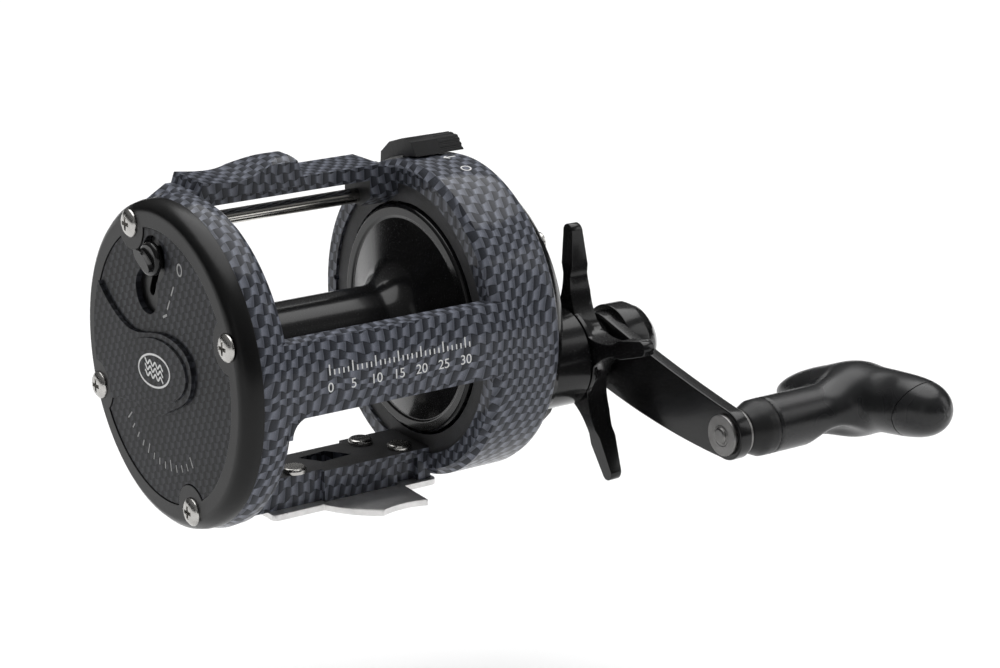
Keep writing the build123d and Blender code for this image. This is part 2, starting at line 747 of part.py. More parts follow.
with BuildPart() as free_spool_lever:
    with BuildSketch(across(lever_start)):
        Circle(cam_outer)
        Circle(cam_inner, mode=Mode.SUBTRACT)
        with Locations(Location((*polar(21, lever_angle), 0), (0, 0, lever_angle))):
            Rectangle(24, 4.4)
    extrude(amount=lever_end - lever_start)
    # thumb pad: steep at the back, sloping down in front, and its right half is ribbed
    with BuildSketch(across(59.2)):
        with BuildLine():
            Polyline(
                polar(pad_inside, 87), polar(35.2, 84), polar(35.9, 79), polar(35.6, 71), polar(34.4, 64.5),
                polar(pad_inside, 62.5), polar(pad_inside, 70), polar(pad_inside, 78), close=True,
            )
        make_face()
    extrude(amount=11.4)
    with BuildSketch(across(65.4)):
        for radius, angle in ((33.3, 86.3), (34.2, 85.3), (35.1, 84.3), (35.65, 81.8), (35.9, 79.2)):
            with Locations(polar(radius, angle)):
                Circle(0.35)
    extrude(amount=6, mode=Mode.SUBTRACT)
    # ramps that push the yoke's feet
    for angle in post_angles:
        start_angle = angle + 2 + degrees(foot_pin_radius / foot_pin_circle)
        y, z = polar(foot_pin_circle, start_angle)
        ramp_plane = Plane(
            origin=(lever_end - foot_station, y, axis_height + z),
            x_dir=(0, -sin(radians(start_angle)), cos(radians(start_angle))),
            z_dir=(0, cos(radians(start_angle)), sin(radians(start_angle))),
        )
        ramp_run = foot_pin_circle * radians(lever_turn)
        with BuildSketch(ramp_plane):
            with BuildLine():
                Polyline((0, 0), (ramp_run, 0), (ramp_run, ramp_height), close=True)
            make_face()
        extrude(amount=0.6, both=True)

# ---- pinion: long teeth, a groove for the yoke and a slot for the spool shaft's dog
pinion_start = dog_start + 0.2
pinion_teeth_end = 71.3

with BuildPart() as pinion:
    with BuildSketch(across(pinion_start)):
        with BuildLine():
            Polyline(*gear_outline(pinion_teeth, gear_direction + 180 / pinion_teeth, backlash), close=True)
        make_face()
    extrude(amount=pinion_teeth_end - pinion_start)
    disc(pinion_teeth_end, yoke_end + 0.2, groove_radius)
    disc(yoke_end + 0.2, 73.6, 4.0)
    disc(pinion_start - 1, 76, 1.6, mode=Mode.SUBTRACT)
    with BuildSketch(across(pinion_start)):
        Rectangle(2 * (dog_half_width + shaft_gap), 3 * groove_radius)
    extrude(amount=dog_end + 0.2 - pinion_start, mode=Mode.SUBTRACT)

# ================================================================ handle shaft and drag
shaft_start = 61.6
gear_start = 66.2
gear_end = 69.2
cup_floor = 67.2
cup_radius = 9.7
arm_start = 93.5
arm_end = 96.3
square_side = 4.6
stud_radius = 2.3
stud_end = 102.2
ratchet_start = 64.7
ratchet_end = 65.8
ratchet_teeth = 12
ratchet_tip = 8.2
ratchet_root = 6.9
washer_radius = 9.0
flat_half = 2.6              # the shaft has two flats that drive the keyed washers

# the dog stands behind one radial face of the anti-reverse ratchet
dog_angle = 240.0
dog_tip_circle = 7.6
dog_reach = 8.0
dog_lean = 5.5
dog_lift = 9.0               # it rests lifted clear, and drops by this much to catch a tooth
tip_y, tip_z = polar(dog_tip_circle, dog_angle)
along_y, along_z = polar(dog_reach, dog_angle + 90)
out_y, out_z = polar(dog_lean, dog_angle)
pivot_y = gear_y + tip_y + along_y + out_y
pivot_z = gear_z + tip_z + along_z + out_z


def double_flat(radius):
    """A round hole or shaft with two flats, on the current sketch."""
    with BuildSketch(mode=Mode.PRIVATE) as section:
        Circle(radius)
        Rectangle(2 * radius, 2 * flat_half, mode=Mode.INTERSECT)
    return section.sketch


with BuildPart() as gear_shaft:
    disc(shaft_start, cup_floor, shaft_radius, y=gear_y, z=gear_z)
    with BuildSketch(across(cup_floor, gear_y, gear_z)):
        add(double_flat(shaft_radius))
    extrude(amount=71.7 - cup_floor)
    disc(71.7, arm_start, shaft_radius, y=gear_y, z=gear_z)
    with BuildSketch(across(arm_start, gear_y, gear_z)):
        Rectangle(square_side, square_side)
    extrude(amount=arm_end - arm_start)
    disc(arm_end, stud_end, stud_radius, y=gear_y, z=gear_z)

with BuildPart() as anti_reverse_ratchet:
    with BuildSketch(across(ratchet_start, gear_y, gear_z)):
        with BuildLine():
            Polyline(*saw_outline(ratchet_teeth, ratchet_tip, ratchet_root, dog_angle - 5.6), close=True)
        make_face()
        Circle(shaft_radius, mode=Mode.SUBTRACT)
    extrude(amount=ratchet_end - ratchet_start)

with BuildPart() as anti_reverse_dog:
    with BuildSketch(across(ratchet_start, pivot_y, pivot_z)):
        caught_y = gear_y + tip_y - pivot_y
        caught_z = gear_z + tip_z - pivot_z
        tip = polar(hypot(caught_y, caught_z), degrees(atan2(caught_z, caught_y)) + dog_lift)
        across_bar = polar(1.1, degrees(atan2(tip[1], tip[0])) + 90)
        with BuildLine():
            Polyline(
                across_bar, (tip[0] + 0.3 * across_bar[0], tip[1] + 0.3 * across_bar[1]),
                (tip[0] - 0.3 * across_bar[0], tip[1] - 0.3 * across_bar[1]),
                (-across_bar[0], -across_bar[1]), close=True,
            )
        make_face()
        with Locations(tip):
            Circle(0.33)
        Circle(1.6)
        Circle(0.9 + shaft_gap, mode=Mode.SUBTRACT)
    extrude(amount=ratchet_end - ratchet_start)

with BuildPart() as dog_screw:
    disc(head_plate_end, ratchet_end + 0.2, 0.9, y=pivot_y, z=pivot_z)
    disc(ratchet_end + 0.2, ratchet_end + 0.9, 1.5, y=pivot_y, z=pivot_z)
    cross_recess(across(ratchet_end + 0.5, pivot_y, pivot_z), 0.4, 1.6, 0.5)

# ---- main gear: a toothed cup that holds the drag washers
with BuildPart() as main_gear:
    with BuildSketch(across(gear_start, gear_y, gear_z)):
        with BuildLine():
            Polyline(*gear_outline(main_teeth, gear_direction - 180, backlash), close=True)
        make_face()
    extrude(amount=gear_end - gear_start)
    disc(cup_floor, gear_end, cup_radius, y=gear_y, z=gear_z, mode=Mode.SUBTRACT)
    disc(gear_start, cup_floor, shaft_radius, y=gear_y, z=gear_z, mode=Mode.SUBTRACT)

fibre_places = ((67.2, 67.8), (68.5, 69.1))
with BuildPart() as drag_fibre_washers:
    for start, end in fibre_places:
        disc(start, end, washer_radius, shaft_radius, gear_y, gear_z)

keyed_places = ((67.8, 68.5), (69.1, 70.1))
with BuildPart() as drag_keyed_washers:
    for start, end in keyed_places:
        with BuildSketch(across(start, gear_y, gear_z)):
            Circle(washer_radius)
            add(double_flat(shaft_radius), mode=Mode.SUBTRACT)
        extrude(amount=end - start)

# two dished spring washers, back to back
with BuildPart() as drag_spring_washers:
    turn(((70.1, 6.6), (70.3, 6.6), (70.9, 3.3), (70.5, 3.3)), gear_y, gear_z)
    turn(((71.7, 6.6), (71.5, 6.6), (70.9, 3.3), (71.3, 3.3)), gear_y, gear_z)

with BuildPart() as drag_sleeve:
    disc(71.7, boss_end + 0.05, sleeve_outer, shaft_radius, gear_y, gear_z)

# ---- star wheel: five paddle arms on a thick hub, thinner towards the tips
star_start = boss_end + 0.3
star_first_angle = 91.6
star_root_end = 90.2

with BuildPart() as star_wheel:
    with BuildSketch(across(star_start, gear_y, gear_z)):
        Circle(8.6)
        for arm in range(star_arms):
            angle = star_first_angle + 360 * arm / star_arms
            with BuildSketch(mode=Mode.PRIVATE) as arm_outline:
                with BuildLine():
                    Spline((5.0, 7.4), (8.6, 3.5), (12.6, 1.75), (17.0, 1.25))
                    Line((17.0, 1.25), (19.0, 1.85))
                    Line((19.0, 1.85), (star_reach - 1.2, 1.5))
                    ThreePointArc((star_reach - 1.2, 1.5), (star_reach, 0), (star_reach - 1.2, -1.5))
                    Line((star_reach - 1.2, -1.5), (19.0, -1.85))
                    Line((19.0, -1.85), (17.0, -1.25))
                    Spline((17.0, -1.25), (12.6, -1.75), (8.6, -3.5), (5.0, -7.4))
                    Line((5.0, -7.4), (5.0, 7.4))
                make_face()
            add(arm_outline.sketch, rotation=angle)
    extrude(amount=star_root_end - star_start)
    turn((
        (star_start, 0.0), (star_start, 28.0), (87.6, 28.0), (star_root_end, 13.5),
        (star_root_end, 0.0),
    ), gear_y, gear_z, mode=Mode.INTERSECT)
    turn((
        (star_start, 0.0), (star_start, 9.8), (86.2, 9.8), (86.8, 9.0), (star_root_end, 8.2),
        (92.4, 6.6), (93.1, 6.2), (93.1, 0.0),
    ), gear_y, gear_z)
    disc(star_start - 1, arm_start, shaft_radius + shaft_gap, y=gear_y, z=gear_z, mode=Mode.SUBTRACT)

# ================================================================ handle
up_y, up_z = polar(1.0, crank_direction - 90)
hub_end_radius = 7.2
grip_end_radius = 5.1


def beside(y, z, distance):
    """A point at a distance above (or, if negative, below) the crank's middle line."""
    return y + distance * up_y, z + distance * up_z


with BuildPart() as handle_arm:
    middle = ((gear_y + knob_y) / 2, (gear_z + knob_z) / 2)
    with BuildSketch(across(arm_start)):
        with Locations((gear_y, gear_z)):
            Circle(hub_end_radius)
        with Locations((knob_y, knob_z)):
            Circle(grip_end_radius)
        with BuildLine():
            top_hub = beside(gear_y, gear_z, hub_end_radius)
            top_knob = beside(knob_y, knob_z, grip_end_radius)
            low_hub = beside(gear_y, gear_z, -hub_end_radius)
            low_knob = beside(knob_y, knob_z, -grip_end_radius)
            ThreePointArc(top_hub, beside(*middle, 5.6), top_knob)
            Line(top_knob, low_knob)
            ThreePointArc(low_knob, beside(*middle, -7.3), low_hub)
            Line(low_hub, top_hub)
        make_face()
    extrude(amount=arm_end - arm_start)
    with BuildSketch(across(arm_start, gear_y, gear_z)):
        Rectangle(square_side, square_side)
    extrude(amount=arm_end - arm_start, mode=Mode.SUBTRACT)
    disc(arm_start, arm_end, 2.1, y=knob_y, z=knob_z, mode=Mode.SUBTRACT)

with BuildPart() as handle_nut:
    turn((
        (arm_end, stud_radius), (arm_end, 8.4), (100.6, 8.4), (103.0, 7.3), (104.8, 5.4),
        (106.1, 2.8), (106.4, 0.0), (stud_end, 0.0), (stud_end, stud_radius),
    ), gear_y, gear_z)

# ---- grip post: riveted through the arm, with a washer on each side
washer_start = 92.6

with BuildPart() as grip_post:
    turn((
        (92.0, 0.0), (92.0, 1.3), (92.3, 1.7), (washer_start, 1.7), (washer_start, 2.1), (112.4, 2.1),
        (112.8, 1.7), (112.8, 0.0),
    ), knob_y, knob_z)

with BuildPart() as grip_washers:
    disc(washer_start, arm_start, 4.1, 2.1, knob_y, knob_z)
    disc(arm_end, arm_end + 0.8, 4.6, 2.1, knob_y, knob_z)

# ---- T-grip: collar, shank and cross bar, with a softer cap at each end of the bar
grip_bore = 2.1 + shaft_gap
collar_start = 97.4
collar_end = 103.3
bar_station = 127.2
bar_direction = 171.3        # towards the upper, rear end of the bar
cap_start = 14.6
bar_middle_y = knob_y - 1.8
bar_middle_z = knob_z + 2.2
# the bar's sections: distance from its middle, half depth along the spool axis, half height
bar_sections = (
    (-cap_start, 5.0, 4.0), (-8.0, 5.8, 5.6), (0.0, 6.2, 6.7), (8.0, 6.0, 6.4), (cap_start, 5.8, 5.7),
)
upper_cap_sections = ((cap_start, 5.8, 5.7), (19.0, 5.4, 5.2), (22.6, 4.0, 3.8), (24.4, 1.6, 1.5))
lower_cap_sections = ((-cap_start, 5.0, 4.0), (-19.0, 4.4, 3.4), (-22.6, 3.2, 2.5), (-24.4, 1.4, 1.1))

with BuildPart() as grip_collar:
    turn((
        (collar_start, grip_bore), (collar_start, 4.1), (collar_start + 0.5, 4.4), (100.6, 5.6),
        (collar_end, 5.7), (collar_end, grip_bore),
    ), knob_y, knob_z)


def bar_section(distance):
    """Plane across the cross bar: local x is the spool axis, and distance is from its middle."""
    y, z = polar(distance, bar_direction)
    return Plane(
        origin=(bar_station - foot_station, bar_middle_y + y, axis_height + bar_middle_z + z),
        x_dir=(1, 0, 0), z_dir=(0, cos(radians(bar_direction)), sin(radians(bar_direction))),
    )


def loft_bar(sections):
    """Loft the current part through elliptical sections of the bar."""
    outlines = []
    for distance, half_depth, half_height in sections:
        with BuildSketch(bar_section(distance)) as outline:
            Ellipse(half_depth, half_height)
        outlines.append(outline.sketch)
    loft(outlines)


with BuildPart() as grip_body:
    loft_bar(bar_sections)
    turn(((collar_end, 0.0), (collar_end, 5.7), (122.6, 5.9), (124.6, 0.0)), knob_y, knob_z)
    disc(collar_end, 114.0, grip_bore, y=knob_y, z=knob_z, mode=Mode.SUBTRACT)

with BuildPart() as grip_cap_upper:
    loft_bar(upper_cap_sections)

with BuildPart() as grip_cap_lower:
    loft_bar(lower_cap_sections)

# ================================================================ write every piece
pieces = {
    "frame": frame, "foot_plate": foot_plate, "foot_rivets": foot_rivets, "cross_rod": cross_rod,
    "tail_plate": tail_plate, "tail_cover": tail_cover, "tail_plate_screws": tail_plate_screws,
    "click_button": click_button, "click_tongue": click_tongue, "click_ratchet": click_ratchet,
    "click_spring": click_spring, "tail_bearing_outer": tail_bearing_outer,
    "tail_bearing_balls": tail_bearing_balls, "tail_bearing_inner": tail_bearing_inner,
    "head_bearing_outer": head_bearing_outer, "head_bearing_balls": head_bearing_balls,
    "head_bearing_inner": head_bearing_inner, "spool": spool, "spool_shaft": spool_shaft,
    "side_plate": side_plate, "head_plate": head_plate, "head_plate_screws": head_plate_screws,
    "gear_cover": gear_cover, "gear_cover_screws": gear_cover_screws, "boss_bush": boss_bush,
    "tension_cap": tension_cap, "yoke_posts": yoke_posts, "yoke": yoke,
    "yoke_springs": yoke_springs, "free_spool_lever": free_spool_lever, "pinion": pinion,
    "gear_shaft": gear_shaft, "anti_reverse_ratchet": anti_reverse_ratchet,
    "anti_reverse_dog": anti_reverse_dog, "dog_screw": dog_screw, "main_gear": main_gear,
    "drag_fibre_washers": drag_fibre_washers, "drag_keyed_washers": drag_keyed_washers,
    "drag_spring_washers": drag_spring_washers, "drag_sleeve": drag_sleeve,
    "star_wheel": star_wheel, "handle_arm": handle_arm, "handle_nut": handle_nut,
    "grip_post": grip_post, "grip_washers": grip_washers, "grip_collar": grip_collar,
    "grip_body": grip_body, "grip_cap_upper": grip_cap_upper, "grip_cap_lower": grip_cap_lower,
}
for label, piece in pieces.items():
    piece.part.label = label
    export_step(piece.part, f"parts/{label}.step")
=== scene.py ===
"""Finished look of the trolling reel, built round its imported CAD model."""
import json
import math

import bmesh
import bpy
from mathutils import Matrix, Vector

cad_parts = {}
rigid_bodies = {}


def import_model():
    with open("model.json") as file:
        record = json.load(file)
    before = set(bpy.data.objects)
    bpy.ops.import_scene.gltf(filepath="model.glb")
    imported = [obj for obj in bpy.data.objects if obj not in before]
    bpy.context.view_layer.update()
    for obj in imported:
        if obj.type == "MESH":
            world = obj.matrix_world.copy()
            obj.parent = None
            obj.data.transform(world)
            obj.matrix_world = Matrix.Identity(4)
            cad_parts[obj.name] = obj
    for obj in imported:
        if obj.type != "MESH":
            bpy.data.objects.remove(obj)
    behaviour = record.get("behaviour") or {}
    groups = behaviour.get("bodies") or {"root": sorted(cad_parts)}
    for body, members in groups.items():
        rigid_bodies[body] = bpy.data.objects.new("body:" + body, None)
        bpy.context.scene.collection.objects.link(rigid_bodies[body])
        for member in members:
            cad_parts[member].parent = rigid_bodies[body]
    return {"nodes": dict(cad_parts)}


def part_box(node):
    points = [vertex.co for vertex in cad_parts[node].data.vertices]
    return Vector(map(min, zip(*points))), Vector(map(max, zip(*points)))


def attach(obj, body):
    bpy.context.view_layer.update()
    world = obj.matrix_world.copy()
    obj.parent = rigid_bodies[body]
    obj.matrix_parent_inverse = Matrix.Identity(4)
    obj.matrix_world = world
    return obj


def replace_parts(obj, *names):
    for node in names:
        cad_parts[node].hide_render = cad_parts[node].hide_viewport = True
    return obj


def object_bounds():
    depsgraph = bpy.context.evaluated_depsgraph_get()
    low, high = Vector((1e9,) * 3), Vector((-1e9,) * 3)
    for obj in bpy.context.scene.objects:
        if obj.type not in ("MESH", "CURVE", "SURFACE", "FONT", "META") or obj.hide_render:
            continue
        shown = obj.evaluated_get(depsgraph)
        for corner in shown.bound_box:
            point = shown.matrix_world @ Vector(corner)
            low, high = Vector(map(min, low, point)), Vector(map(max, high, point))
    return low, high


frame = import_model()
cad_low, cad_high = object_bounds()
nodes = frame["nodes"]
scene = bpy.context.scene
scene_objects = scene.collection.objects
MM = 0.001


def middle(node):
    """The centre of a CAD node's box."""
    low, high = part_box(node)
    return (low + high) / 2


spool_axis = middle("spool")
knob_axis = middle("grip_collar")
tail_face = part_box("tail_cover")[0].x
tail_plate_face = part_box("tail_plate")[0].x
ring_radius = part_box("side_plate")[1].z - spool_axis.z


# ---------------------------------------------------------------- writing materials
class Recipe:
    """A material written one node at a time, round a Principled shader."""

    def __init__(self, name, **sockets):
        self.material = bpy.data.materials.new(name)
        self.material.use_nodes = True
        self.tree = self.material.node_tree
        self.shader = self.tree.nodes["Principled BSDF"]
        for socket, value in sockets.items():
            self.shader.inputs[socket.replace("_", " ")].default_value = value

    def feed(self, socket, source):
        """Link an output to an input, or set the input's own value."""
        if isinstance(source, bpy.types.NodeSocket):
            self.tree.links.new(source, socket)
        else:
            socket.default_value = source

    def node(self, kind, inputs=(), **settings):
        made = self.tree.nodes.new("ShaderNode" + kind)
        for key, value in settings.items():
            setattr(made, key, value)
        for socket, source in dict(inputs).items():
            self.feed(made.inputs[socket], source)
        return made

    def maths(self, operation, *values):
        return self.node("Math", enumerate(values), operation=operation).outputs[0]

    def noise(self, place, scale, detail=2.0):
        """Smooth noise from 0 to 1."""
        return self.node("TexNoise", {"Vector": place, "Scale": scale, "Detail": detail}).outputs[0]

    def place(self):
        """The point's place in millimetres from the object's origin."""
        here = self.node("TexCoord").outputs["Object"]
        return self.node("VectorMath", {0: here, "Scale": 1 / MM}, operation="SCALE").outputs[0]

    def stretched(self, place, x, y, z):
        return self.node("VectorMath", {0: place, 1: (x, y, z)}, operation="MULTIPLY").outputs[0]

    def ramp(self, value, *stops):
        """A colour ramp through (position, colour) stops."""
        made = self.node("ValToRGB", {0: value})
        elements = made.color_ramp.elements
        while len(elements) < len(stops):
            elements.new(0.5)
        for element, (position, colour) in zip(elements, stops):
            element.position = position
            element.color = (*colour, 1.0)
        return made.outputs[0]

    def between(self, value, low, high):
        """A 0 to 1 value spread over low to high."""
        return self.node("MapRange", {"Value": value, "To Min": low, "To Max": high}).outputs[0]

    def times(self, first, second):
        """Two colours multiplied."""
        mixed = self.node("Mix", {0: 1.0, 6: first, 7: second}, data_type="RGBA", blend_type="MULTIPLY")
        return mixed.outputs[2]

    def colour(self, source):
        self.feed(self.shader.inputs["Base Color"], source)

    def roughness(self, value, low, high):
        self.feed(self.shader.inputs["Roughness"], self.between(value, low, high))

    def bump(self, height, depth, socket="Normal"):
        """Relief of the given depth in millimetres."""
        made = self.node("Bump", {"Height": height, "Distance": depth * MM, "Strength": 1.0})
        self.feed(self.shader.inputs[socket], made.outputs[0])


def grey(value):
    return (value, value, value)


def weave(recipe, along, across_rows, cell, row, dark, light):
    """Printed fibre weave: rows of slanted light and dark cells, each row half a cell pair over."""
    u = recipe.maths("DIVIDE", along, 2 * cell)
    v = recipe.maths("DIVIDE", across_rows, row)
    bulge = recipe.maths(
        "MULTIPLY",
        recipe.maths("COSINE", recipe.maths("MULTIPLY", u, 2 * math.pi)),
        recipe.maths("COSINE", recipe.maths("MULTIPLY", v, math.pi)),
    )
    v = recipe.maths("ADD", v, recipe.maths("MULTIPLY", bulge, 0.13))
    parity = recipe.maths("MULTIPLY", recipe.maths("FLOORED_MODULO", recipe.maths("FLOOR", v), 2.0), 0.5)
    up_row = recipe.maths("FRACT", v)
    slanted = recipe.maths("ADD", u, recipe.maths("MULTIPLY", up_row, 0.09))
    in_cell = recipe.maths("FRACT", recipe.maths("ADD", slanted, parity))
    tone = recipe.ramp(
        in_cell, (0.0, grey(0.55)), (0.03, grey(0.10)), (0.40, grey(0.26)), (0.50, grey(0.62)),
        (0.56, grey(0.98)), (0.94, grey(0.42)), (1.0, grey(0.55)),
    )
    edge = recipe.ramp(up_row, (0.0, grey(0.45)), (0.10, grey(1.0)), (0.90, grey(1.0)), (1.0, grey(0.6)))
    strand_place = {0: recipe.maths("MULTIPLY", u, 26.0), 1: recipe.maths("MULTIPLY", v, 2.2)}
    strands = recipe.node("CombineXYZ", strand_place).outputs[0]
    thread = recipe.between(recipe.noise(strands, 1.0, 1.0), 0.78, 1.22)
    shade = recipe.maths("MULTIPLY", recipe.maths("MULTIPLY", tone, edge), thread)
    return recipe.node("Mix", {0: shade, 6: (*dark, 1), 7: (*light, 1)}, data_type="RGBA").outputs[2], shade


def carbon_print(name):
    """Weave wrapped over the frame: round the rims, along the bars and flat on the end faces."""
    recipe = Recipe(name, Roughness=0.5, IOR=1.15, Coat_Weight=0.5, Coat_Roughness=0.07, Coat_IOR=1.32)
    place = recipe.place()
    drift = recipe.node("TexNoise", {"Vector": place, "Scale": 0.055, "Detail": 1.5}).outputs["Color"]
    drift = recipe.node("VectorMath", {0: drift, 1: (0.5, 0.5, 0.5)}, operation="SUBTRACT").outputs[0]
    drift = recipe.node("VectorMath", {0: drift, "Scale": 7.0}, operation="SCALE").outputs[0]
    moved = recipe.node("VectorMath", {0: place, 1: drift}, operation="ADD").outputs[0]
    centre = tuple(v / MM for v in (0, spool_axis.y, spool_axis.z))
    from_axis = recipe.node("VectorMath", {0: moved, 1: centre}, operation="SUBTRACT").outputs[0]
    x, y, z = recipe.node("SeparateXYZ", {0: from_axis}).outputs
    squares = recipe.maths("ADD", recipe.maths("POWER", y, 2.0), recipe.maths("POWER", z, 2.0))
    radius = recipe.maths("SQRT", squares)
    around = recipe.maths("MULTIPLY", recipe.maths("ARCTAN2", z, y), ring_radius / MM)
    normal = recipe.node("NewGeometry").outputs["True Normal"]
    nx, ny, nz = recipe.node("SeparateXYZ", {0: normal}).outputs
    outward = recipe.maths("ADD", recipe.maths("MULTIPLY", ny, y), recipe.maths("MULTIPLY", nz, z))
    is_end = recipe.maths("GREATER_THAN", recipe.maths("ABSOLUTE", nx), 0.75)
    is_rim = recipe.maths(
        "GREATER_THAN", recipe.maths("ABSOLUTE", outward), recipe.maths("MULTIPLY", radius, 0.55)
    )
    rows = recipe.node("Mix", {0: is_rim, 2: radius, 3: around}).outputs[0]
    rows = recipe.node("Mix", {0: is_end, 2: rows, 3: z}).outputs[0]
    along = recipe.node("Mix", {0: is_end, 2: x, 3: y}).outputs[0]
    colour, shade = weave(recipe, along, rows, 1.45, 1.95, (0.0015, 0.0017, 0.0022), (0.19, 0.203, 0.245))
    speck = recipe.noise(place, 5.0, 3.0)
    fleck = recipe.ramp(speck, (0.0, grey(0.82)), (0.62, grey(1.0)), (0.72, grey(1.5)))
    recipe.colour(recipe.times(colour, fleck))
    recipe.roughness(shade, 0.5, 0.34)
    recipe.bump(recipe.noise(place, 0.35, 2.0), 0.03, "Coat Normal")
    return recipe.material


def cover_print(name):
    """Finer weave on the tail cover's end face, running slantwise."""
    recipe = Recipe(name, Roughness=0.4, IOR=1.18, Coat_Weight=0.2, Coat_Roughness=0.06, Coat_IOR=1.25)
    place = recipe.place()
    spun = recipe.node(
        "VectorRotate", {"Vector": place, "Axis": (1, 0, 0), "Angle": math.radians(20)},
        rotation_type="AXIS_ANGLE",
    ).outputs[0]
    _, y, z = recipe.node("SeparateXYZ", {0: spun}).outputs
    colour, shade = weave(recipe, y, z, 1.38, 1.3, (0.0015, 0.0015, 0.002), (0.034, 0.036, 0.043))
    low = recipe.noise(place, 0.05, 1.0)
    worn = recipe.ramp(low, (0.35, grey(0.7)), (0.65, grey(1.15)))
    recipe.colour(recipe.times(colour, worn))
    recipe.roughness(shade, 0.46, 0.34)
    recipe.bump(recipe.noise(place, 0.3, 2.0), 0.02, "Coat Normal")
    return recipe.material


def black(name, tone, rough, coat, grain, depth):
    """Black plastic or paint: faint mottling, dust specks and a trace of relief."""
    recipe = Recipe(name, IOR=1.33, Coat_Weight=coat, Coat_Roughness=rough * 0.5, Coat_IOR=1.28)
    place = recipe.place()
    mottle = recipe.noise(place, 0.15, 3.0)
    recipe.colour(recipe.ramp(mottle, (0.3, grey(tone * 0.8)), (0.7, (tone * 1.2, tone * 1.2, tone * 1.28))))
    dust = recipe.ramp(recipe.noise(place, 4.0, 4.0), (0.55, grey(0.0)), (0.8, grey(1.0)))
    recipe.roughness(dust, rough, min(1.0, rough * 1.6 + 0.05))
    recipe.bump(recipe.noise(place, grain, 3.0), depth)
    return recipe.material


def metal(name, tone, rough, brushed, depth=0.004, specks=0.0):
    """Bare metal with fine tooling lines; brushed gives their stretch along X, Y and Z."""
    recipe = Recipe(name, Metallic=1.0)
    place = recipe.place()
    lines = recipe.noise(recipe.stretched(place, *brushed), 1.0, 4.0)
    dull = recipe.noise(place, 0.4, 3.0)
    recipe.colour(recipe.ramp(dull, (0.3, tuple(t * 0.82 for t in tone)), (0.7, tone)))
    pits = recipe.ramp(recipe.noise(place, 3.0, 5.0), (0.5, grey(0.0)), (0.75, grey(specks)))
    recipe.roughness(recipe.maths("ADD", lines, pits), rough * 0.7, rough * 1.5)
    recipe.bump(lines, depth)
    return recipe.material


def rubber(name):
    """Dark grey moulded rubber: satin, finely pored, a little polished by the hand."""
    recipe = Recipe(name, IOR=1.42)
    place = recipe.place()
    handled = recipe.noise(place, 0.09, 2.0)
    recipe.colour(recipe.ramp(handled, (0.3, (0.010, 0.0102, 0.0108)), (0.7, (0.016, 0.0163, 0.0172))))
    recipe.roughness(handled, 0.22, 0.32)
    recipe.bump(recipe.noise(place, 5.5, 3.0), 0.02)
    return recipe.material


def fibre(name):
    """Woven fibre of the drag washers."""
    recipe = Recipe(name, IOR=1.45)
    place = recipe.place()
    _, y, z = recipe.node("SeparateXYZ", {0: place}).outputs
    colour, shade = weave(recipe, y, z, 0.5, 0.5, (0.02, 0.019, 0.018), (0.12, 0.11, 0.10))
    recipe.colour(colour)
    recipe.roughness(shade, 0.85, 0.6)
    recipe.bump(shade, 0.03)
    return recipe.material


def paint(name, tone):
    """Pad-printed marking ink, slightly worn."""
    recipe = Recipe(name, IOR=1.5)
    wear = recipe.noise(recipe.place(), 3.0, 4.0)
    recipe.colour(recipe.ramp(wear, (0.25, grey(tone * 0.7)), (0.45, grey(tone))))
    recipe.roughness(wear, 0.3, 0.5)
    return recipe.material


weave_print = carbon_print("carbon_print")
cover_weave = cover_print("cover_print")
gloss_black = black("black_gloss", 0.006, 0.20, 0.35, 0.3, 0.006)
rim_black = black("black_rim", 0.003, 0.3, 0.0, 0.8, 0.008)
satin_black = black("black_satin", 0.012, 0.36, 0.0, 2.5, 0.02)
matt_grey = black("black_matt", 0.045, 0.5, 0.0, 3.0, 0.03)
stainless = metal("stainless", (0.52, 0.51, 0.49), 0.22, (0.5, 6.0, 6.0), 0.003, 0.4)
plate_steel = metal("plate_steel", (0.80, 0.79, 0.78), 0.36, (3.0, 9.0, 14.0), 0.012, 0.8)
rod_steel = metal("rod_steel", (0.62, 0.60, 0.56), 0.14, (0.05, 9.0, 9.0), 0.002)
dark_steel = metal("dark_steel", (0.22, 0.216, 0.212), 0.34, (6.0, 1.2, 1.2), 0.008, 0.5)
machined = metal("machined_steel", (0.50, 0.50, 0.50), 0.28, (8.0, 2.0, 2.0))
brass = metal("brass", (0.72, 0.53, 0.24), 0.26, (8.0, 2.0, 2.0))
spring_steel = metal("spring_steel", (0.34, 0.34, 0.35), 0.3, (6.0, 6.0, 6.0))
soft_rubber = rubber("grip_rubber")
drag_fibre = fibre("drag_fibre")
pale_ink = paint("marking_ink", 0.72)
faint_ink = paint("faint_ink", 0.30)


# ---------------------------------------------------------------- the CAD pieces
def finish(node, material, edge=0.0, segments=2, limit=32.0):
    """Give a CAD piece its material and, if edge is set (mm), rounded edges."""
    piece = nodes[node]
    piece.data.materials.clear()
    piece.data.materials.append(material)
    piece.data.polygons.foreach_set("use_smooth", [True] * len(piece.data.polygons))
    if not edge:
        return piece
    weld = piece.modifiers.new("weld", "WELD")
    weld.merge_threshold = 0.002 * MM
    flatten = piece.modifiers.new("flatten", "DECIMATE")
    flatten.decimate_type = "DISSOLVE"
    flatten.angle_limit = math.radians(0.4)
    bevel = piece.modifiers.new("edges", "BEVEL")
    bevel.width = edge * MM
    bevel.segments = segments
    bevel.limit_method = "ANGLE"
    bevel.angle_limit = math.radians(limit)
    bevel.use_clamp_overlap = True
    bevel.miter_outer = "MITER_ARC"
    shading = piece.modifiers.new("shading", "WEIGHTED_NORMAL")
    shading.mode = "FACE_AREA"
    shading.weight = 80
    return piece


